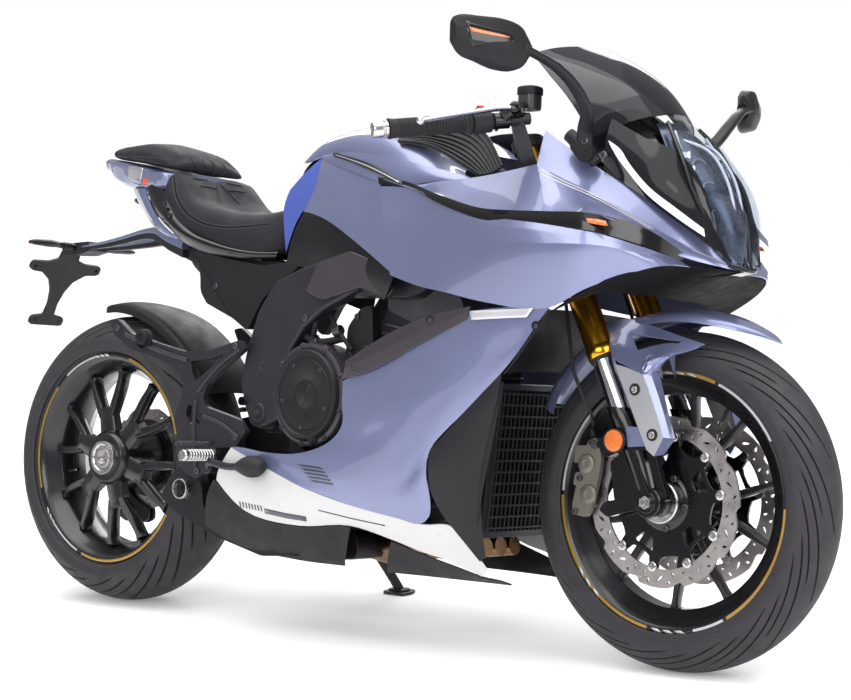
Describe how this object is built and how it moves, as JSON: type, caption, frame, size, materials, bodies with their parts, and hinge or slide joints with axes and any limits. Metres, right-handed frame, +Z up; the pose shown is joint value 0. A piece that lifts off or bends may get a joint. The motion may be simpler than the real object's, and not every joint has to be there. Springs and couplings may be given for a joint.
{
  "type": "sport motorcycle",
  "caption": "Fully faired sport motorcycle with upside-down fork, single-sided swingarm and a side stand it leans on; steering, wheels and stand move.",
  "frame": {"origin": "on the floor, under the middle of the parked motorcycle's bounding box", "axes": "+X towards the front wheel along the bike, +Y to the rider's left, +Z up; the bike leans about X onto its side stand"},
  "size_m": [2.0477, 0.9968, 1.1573],
  "materials": {
    "paint_lilac": "metallic gloss",
    "frame_black": "satin",
    "engine_grey": "satin",
    "cover_black": "satin",
    "radiator_black": "matt",
    "pipe_bronze": "heat tinted",
    "muffler_black": "satin",
    "seat_black": "matt grained",
    "plastic_black": "fine grained",
    "plastic_gloss": "gloss",
    "lens_red": "gloss",
    "lens_clear": "clear gloss",
    "screen_smoke": "smoked gloss",
    "steel": "brushed",
    "steel_dark": "dark",
    "caliper_black": "satin",
    "caliper_grey": "satin",
    "fork_gold": "anodised gloss",
    "fork_black": "satin",
    "grip_black": "ribbed",
    "lever_silver": "polished",
    "rim_black": "gloss",
    "tyre": "rubber",
    "disc_steel": "turned"
  },
  "bodies": {
    "chassis": {"steering_head": "frame_black", "frame_right": "frame_black", "frame_left": "frame_black", "rear_subframe": "frame_black", "engine": "engine_grey", "engine_covers": "cover_black", "radiator": "radiator_black", "exhaust_pipes": "pipe_bronze", "muffler": "muffler_black", "fuel_tank": "paint_lilac", "rider_seat": "seat_black", "pillion_seat": "seat_black", "side_covers": "plastic_black", "tail_cowl": "paint_lilac", "tail_light": "lens_red", "plate_bracket": "plastic_black", "side_fairing_right": "paint_lilac", "side_fairing_left": "paint_lilac", "lower_fairing_right": "paint_lilac", "lower_fairing_left": "paint_lilac", "nose_cowl": "paint_lilac", "nose_underside": "plastic_black", "headlight": "lens_clear", "windscreen": "screen_smoke", "dash_panel": "plastic_black", "mirror_right": "plastic_gloss", "mirror_left": "plastic_gloss", "swingarm": "frame_black", "rear_shock": "steel", "rear_hugger": "plastic_black", "chain": "steel_dark", "rear_caliper": "caliper_black", "footrest_right": "frame_black", "footrest_left": "frame_black", "foot_levers": "steel_dark"},
    "steering": {"yokes": "frame_black", "fork_tubes": "fork_gold", "fork_legs": "fork_black", "handlebars": "grip_black", "hand_levers": "lever_silver", "front_fender": "paint_lilac", "front_calipers": "caliper_grey", "brake_hoses": "grip_black", "front_axle": "steel"},
    "front_wheel": {"front_rim": "rim_black", "front_tyre": "tyre", "front_discs": "disc_steel"},
    "rear_wheel": {"rear_rim": "rim_black", "rear_tyre": "tyre", "rear_axle": "steel", "rear_disc": "disc_steel", "rear_sprocket": "steel_dark"},
    "side_stand": {"side_stand": "frame_black"}
  },
  "joints": [
    {"name": "steering", "type": "hinge", "parent": "chassis", "child": "steering", "pos_m": [0.44876, -0.03801, 0.81043], "axis": [-0.4226, 0.1418, 0.8951], "range_deg": [-22, 22]},
    {"name": "front_wheel_spin", "type": "hinge", "parent": "steering", "child": "front_wheel", "pos_m": [0.72386, -0.11936, 0.29684], "axis": [0, 0.9877, -0.1564], "continuous": true},
    {"name": "rear_wheel_spin", "type": "hinge", "parent": "chassis", "child": "rear_wheel", "pos_m": [-0.70614, -0.11701, 0.31165], "axis": [0, 0.9877, -0.1564], "continuous": true},
    {"name": "side_stand", "type": "hinge", "parent": "chassis", "child": "side_stand", "pos_m": [-0.26314, 0.0386, 0.23942], "axis": [0.0705, 0.9275, 0.3671], "range_deg": [0, 103.8]}
  ]
}
